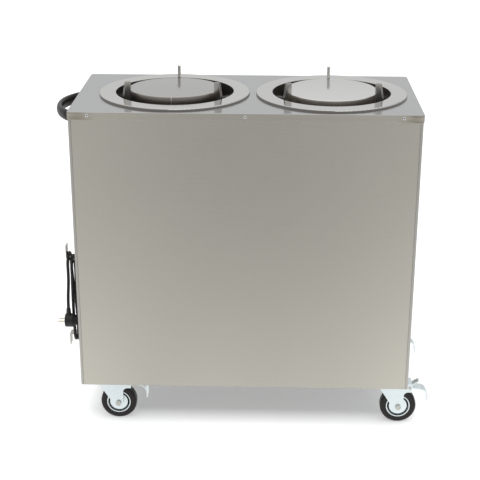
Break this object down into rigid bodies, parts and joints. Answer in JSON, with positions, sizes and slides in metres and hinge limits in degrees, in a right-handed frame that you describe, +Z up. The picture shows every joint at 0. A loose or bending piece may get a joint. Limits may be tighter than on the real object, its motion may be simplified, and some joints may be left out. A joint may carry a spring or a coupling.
{
  "type": "heated plate dispenser cart",
  "caption": "Stainless steel mobile cart with two heated round wells whose sprung platforms lift stacks of plates, with push handle, cord and braked swivel casters.",
  "frame": {"origin": "on the floor under the centre of the cart's overall box, cord left out", "axes": "+X along the long side from the push-handle end, +Y from the plain front side to the back, +Z up"},
  "size_m": [1.0292, 0.4366, 0.946],
  "materials": {
    "stainless": "satin, fine vertical grain",
    "stainless_bright": "satin, fine grain along the length",
    "ring_polished": "fine satin, turned",
    "pan_polished": "fine satin, turned",
    "guide_steel": "satin",
    "heater_steel": "dull, heat tinted",
    "spring_steel": "drawn wire",
    "zinc_plate": "bright zinc plate",
    "rivet_aluminium": "plain",
    "handle_plastic": "satin black",
    "black_plastic": "satin black",
    "rocker_plastic": "gloss black",
    "lamp_lens": "amber lens",
    "cord_rubber": "matt black",
    "plug_rubber": "satin black",
    "pin_brass": "nickelled brass",
    "wheel_centre": "zinc-plated pressed disc, bluish",
    "tyre_rubber": "matt black"
  },
  "bodies": {
    "cabinet": {"base_tray": "stainless", "base_rails": "zinc_plate", "front_panel": "stainless", "back_panel": "stainless", "left_end_panel": "stainless", "right_end_panel": "stainless", "top_panel": "stainless_bright", "blind_rivets": "rivet_aluminium", "push_handle": "handle_plastic", "handle_bolts": "zinc_plate", "control_plate": "stainless", "thermostat": "zinc_plate", "power_switch": "black_plastic", "pilot_lamp": "lamp_lens", "cord_cleats": "stainless", "cable_gland": "black_plastic", "power_cord": "cord_rubber", "cord_hank": "cord_rubber", "plug_cord": "cord_rubber", "plug_body": "plug_rubber", "plug_pins": "pin_brass", "caster_bolts": "zinc_plate", "left_well_tube": "ring_polished", "left_heater": "heater_steel", "left_plate_guides": "guide_steel", "left_lift_springs": "spring_steel", "right_well_tube": "ring_polished", "right_heater": "heater_steel", "right_plate_guides": "guide_steel", "right_lift_springs": "spring_steel", "front_left_caster_plate": "zinc_plate", "rear_left_caster_plate": "zinc_plate", "front_right_caster_plate": "zinc_plate", "rear_right_caster_plate": "zinc_plate"},
    "left_platform": {"left_platform_pan": "pan_polished", "left_carriage": "zinc_plate"},
    "right_platform": {"right_platform_pan": "pan_polished", "right_carriage": "zinc_plate"},
    "knob": {"thermostat_knob": "black_plastic"},
    "rocker": {"switch_rocker": "rocker_plastic"},
    "front_left_swivel": {"front_left_fork": "zinc_plate", "front_left_axle": "zinc_plate"},
    "front_left_wheel": {"front_left_wheel_hub": "wheel_centre", "front_left_tyre": "tyre_rubber"},
    "front_left_brake": {"front_left_brake_pedal": "zinc_plate"},
    "rear_left_swivel": {"rear_left_fork": "zinc_plate", "rear_left_axle": "zinc_plate"},
    "rear_left_wheel": {"rear_left_wheel_hub": "wheel_centre", "rear_left_tyre": "tyre_rubber"},
    "rear_left_brake": {"rear_left_brake_pedal": "zinc_plate"},
    "front_right_swivel": {"front_right_fork": "zinc_plate", "front_right_axle": "zinc_plate"},
    "front_right_wheel": {"front_right_wheel_hub": "wheel_centre", "front_right_tyre": "tyre_rubber"},
    "front_right_brake": {"front_right_brake_pedal": "zinc_plate"},
    "rear_right_swivel": {"rear_right_fork": "zinc_plate", "rear_right_axle": "zinc_plate"},
    "rear_right_wheel": {"rear_right_wheel_hub": "wheel_centre", "rear_right_tyre": "tyre_rubber"},
    "rear_right_brake": {"rear_right_brake_pedal": "zinc_plate"}
  },
  "joints": [
    {"name": "left_platform_lift", "type": "slide", "parent": "cabinet", "child": "left_platform", "axis": [0, 0, -1], "range_m": [0, 0.44], "stiffness_N_per_m": 650, "springref_m": -0.06, "deforming": ["left_lift_springs"]},
    {"name": "right_platform_lift", "type": "slide", "parent": "cabinet", "child": "right_platform", "axis": [0, 0, -1], "range_m": [0, 0.44], "stiffness_N_per_m": 650, "springref_m": -0.06, "deforming": ["right_lift_springs"]},
    {"name": "thermostat_turn", "type": "hinge", "parent": "cabinet", "child": "knob", "pos_m": [-0.4583, 0.055, 0.647], "axis": [-1, 0, 0], "range_deg": [0, 270]},
    {"name": "switch_rock", "type": "hinge", "parent": "cabinet", "child": "rocker", "pos_m": [-0.4498, 0.055, 0.733], "axis": [0, 1, 0], "range_deg": [0, 14]},
    {"name": "front_left_swivel_turn", "type": "hinge", "parent": "cabinet", "child": "front_left_swivel", "pos_m": [-0.385, -0.15, 0.12], "axis": [0, 0, 1], "continuous": true},
    {"name": "front_left_wheel_roll", "type": "hinge", "parent": "front_left_swivel", "child": "front_left_wheel", "pos_m": [-0.353, -0.15, 0.05], "axis": [0, 1, 0], "continuous": true},
    {"name": "front_left_brake_press", "type": "hinge", "parent": "front_left_swivel", "child": "front_left_brake", "pos_m": [-0.323, -0.15, 0.11], "axis": [0, 1, 0], "range_deg": [0, 12]},
    {"name": "rear_left_swivel_turn", "type": "hinge", "parent": "cabinet", "child": "rear_left_swivel", "pos_m": [-0.385, 0.15, 0.12], "axis": [0, 0, 1], "continuous": true},
    {"name": "rear_left_wheel_roll", "type": "hinge", "parent": "rear_left_swivel", "child": "rear_left_wheel", "pos_m": [-0.353, 0.15, 0.05], "axis": [0, 1, 0], "continuous": true},
    {"name": "rear_left_brake_press", "type": "hinge", "parent": "rear_left_swivel", "child": "rear_left_brake", "pos_m": [-0.323, 0.15, 0.11], "axis": [0, 1, 0], "range_deg": [0, 12]},
    {"name": "front_right_swivel_turn", "type": "hinge", "parent": "cabinet", "child": "front_right_swivel", "pos_m": [0.398, -0.15, 0.12], "axis": [0, 0, 1], "continuous": true},
    {"name": "front_right_wheel_roll", "type": "hinge", "parent": "front_right_swivel", "child": "front_right_wheel", "pos_m": [0.43, -0.15, 0.05], "axis": [0, 1, 0], "continuous": true},
    {"name": "front_right_brake_press", "type": "hinge", "parent": "front_right_swivel", "child": "front_right_brake", "pos_m": [0.46, -0.15, 0.11], "axis": [0, 1, 0], "range_deg": [0, 12]},
    {"name": "rear_right_swivel_turn", "type": "hinge", "parent": "cabinet", "child": "rear_right_swivel", "pos_m": [0.398, 0.15, 0.12], "axis": [0, 0, 1], "continuous": true},
    {"name": "rear_right_wheel_roll", "type": "hinge", "parent": "rear_right_swivel", "child": "rear_right_wheel", "pos_m": [0.43, 0.15, 0.05], "axis": [0, 1, 0], "continuous": true},
    {"name": "rear_right_brake_press", "type": "hinge", "parent": "rear_right_swivel", "child": "rear_right_brake", "pos_m": [0.46, 0.15, 0.11], "axis": [0, 1, 0], "range_deg": [0, 12]}
  ]
}
